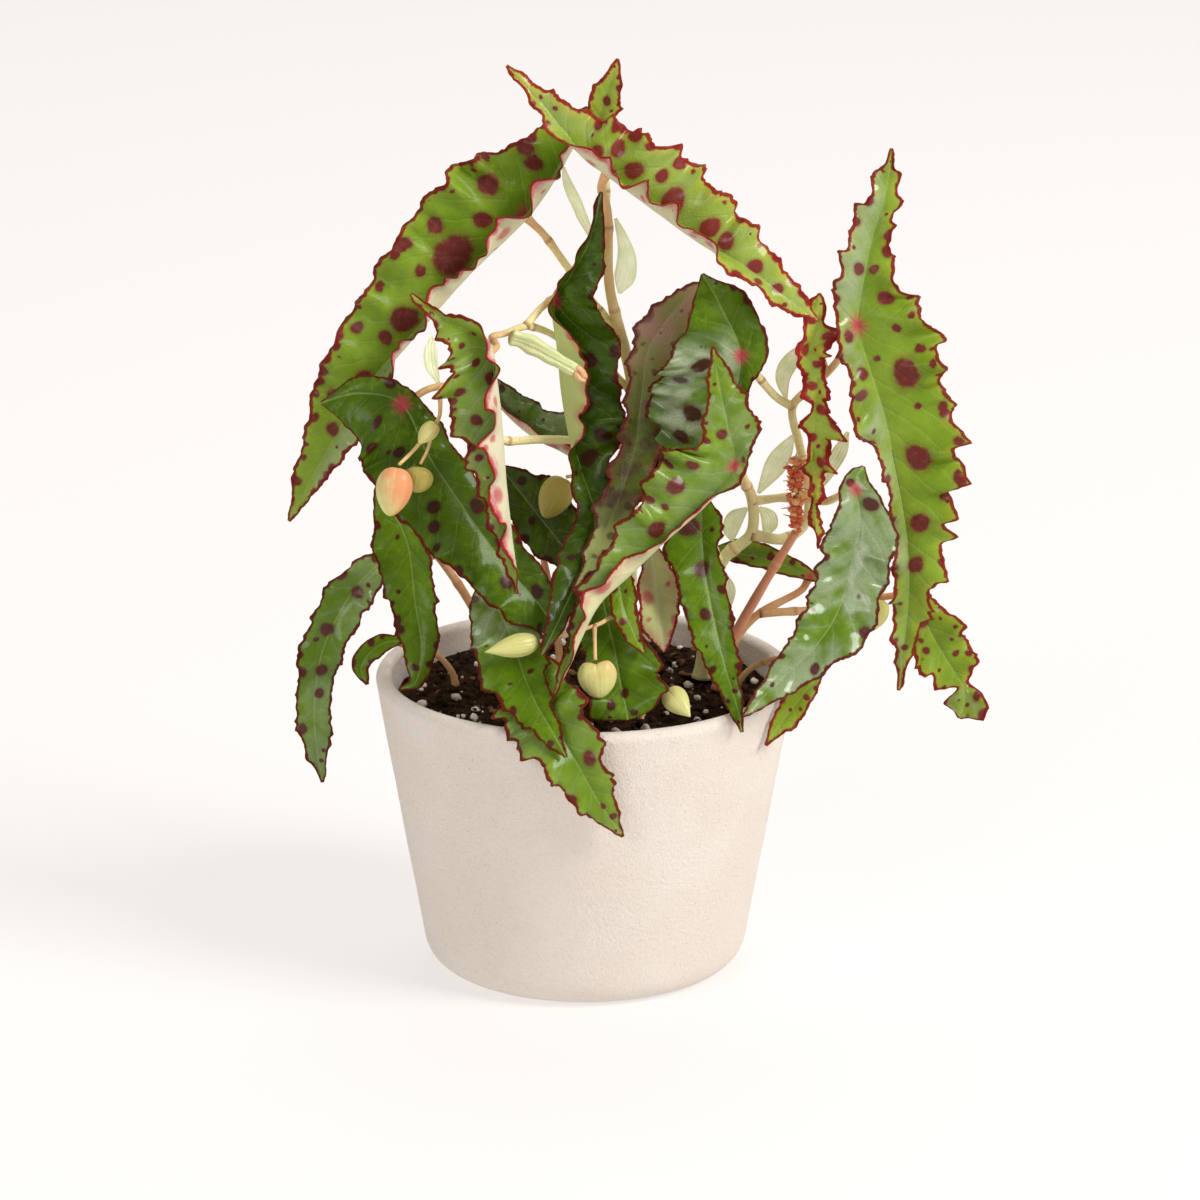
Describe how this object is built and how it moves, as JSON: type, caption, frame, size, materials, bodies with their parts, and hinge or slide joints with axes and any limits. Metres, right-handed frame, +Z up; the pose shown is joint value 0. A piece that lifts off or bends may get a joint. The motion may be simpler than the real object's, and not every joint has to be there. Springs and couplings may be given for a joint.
{
  "type": "potted begonia",
  "caption": "Cane begonia with long pointed leaves, red toothed margins and dark spots, buds and papery bracts, rooted in soil in a plain tapered round pot; stands on a flat foot.",
  "frame": {"origin": "centre of the pot's foot, on the surface it stands on", "axes": "+Z up along the pot's axis; the plant's display side faces -Y, +X to the right of it"},
  "size_m": [0.2157, 0.1368, 0.2852],
  "materials": {
    "pot_clay": "matt off-white stoneware, fine grain with faint specks",
    "potting_soil": "loose moist peat and bark with pale perlite grains",
    "leaf_blade": "waxy green blade with maroon spots, red toothed margin and paler underside",
    "bract_papery": "thin dry translucent cream-green sheath",
    "cane_tan": "smooth fleshy tan-green cane, pinker towards the leaves",
    "stalk_pink": "smooth fleshy salmon-pink stalk",
    "bud_lime": "smooth waxy yellow-green bud with fine veins",
    "bud_blush": "smooth waxy bud, pink-orange blush",
    "capsule_pale": "pale waxy capsule with long ribs",
    "cluster_red": "small fuzzy red-orange bracts and flowers"
  },
  "bodies": {
    "root": {"bract_far_slim": "bract_papery", "bract_left_high": "bract_papery", "bract_low_pink": "bract_papery", "bract_right_hanging": "bract_papery", "bract_right_low": "bract_papery", "bract_right_node": "bract_papery", "bract_right_twin": "bract_papery", "bract_top_cane": "bract_papery", "bract_top_slim": "bract_papery", "bud_back_olive": "bud_lime", "bud_front_heart": "bud_lime", "bud_front_pointed": "bud_lime", "bud_front_rim": "bud_lime", "bud_left_olive": "bud_lime", "bud_left_pink": "bud_blush", "bud_left_small": "bud_lime", "bud_right_lime": "bud_lime", "cane_centre": "cane_tan", "cane_right": "cane_tan", "capsule_long": "capsule_pale", "flower_cluster": "cluster_red", "flower_stalk": "stalk_pink", "leaf_arch_left": "leaf_blade", "leaf_arch_top": "leaf_blade", "leaf_back_dark": "leaf_blade", "leaf_back_level": "leaf_blade", "leaf_centre_behind": "leaf_blade", "leaf_centre_fold": "leaf_blade", "leaf_centre_gloss": "leaf_blade", "leaf_crinkled": "leaf_blade", "leaf_edge_on": "leaf_blade", "leaf_far_left": "leaf_blade", "leaf_far_right": "leaf_blade", "leaf_front_cross": "leaf_blade", "leaf_front_left": "leaf_blade", "leaf_front_middle": "leaf_blade", "leaf_front_narrow": "leaf_blade", "leaf_front_rim": "leaf_blade", "leaf_left_dark": "leaf_blade", "leaf_left_fold": "leaf_blade", "leaf_left_hanging": "leaf_blade", "leaf_pale_under": "leaf_blade", "leaf_right_gloss": "leaf_blade", "leaf_right_hanging": "leaf_blade", "leaf_right_tall": "leaf_blade", "leaf_right_tip": "leaf_blade", "leaf_rim_curl": "leaf_blade", "leaf_top_small": "leaf_blade", "petiole_back": "cane_tan", "petiole_back_level": "cane_tan", "petiole_front_left": "cane_tan", "petiole_front_middle": "cane_tan", "petiole_front_rim": "cane_tan", "petiole_left": "cane_tan", "petiole_right_tip": "cane_tan", "petiole_rim_curl": "cane_tan", "pot": "pot_clay", "soil": "potting_soil", "stalk_front_rim": "cane_tan"}
  },
  "joints": []
}
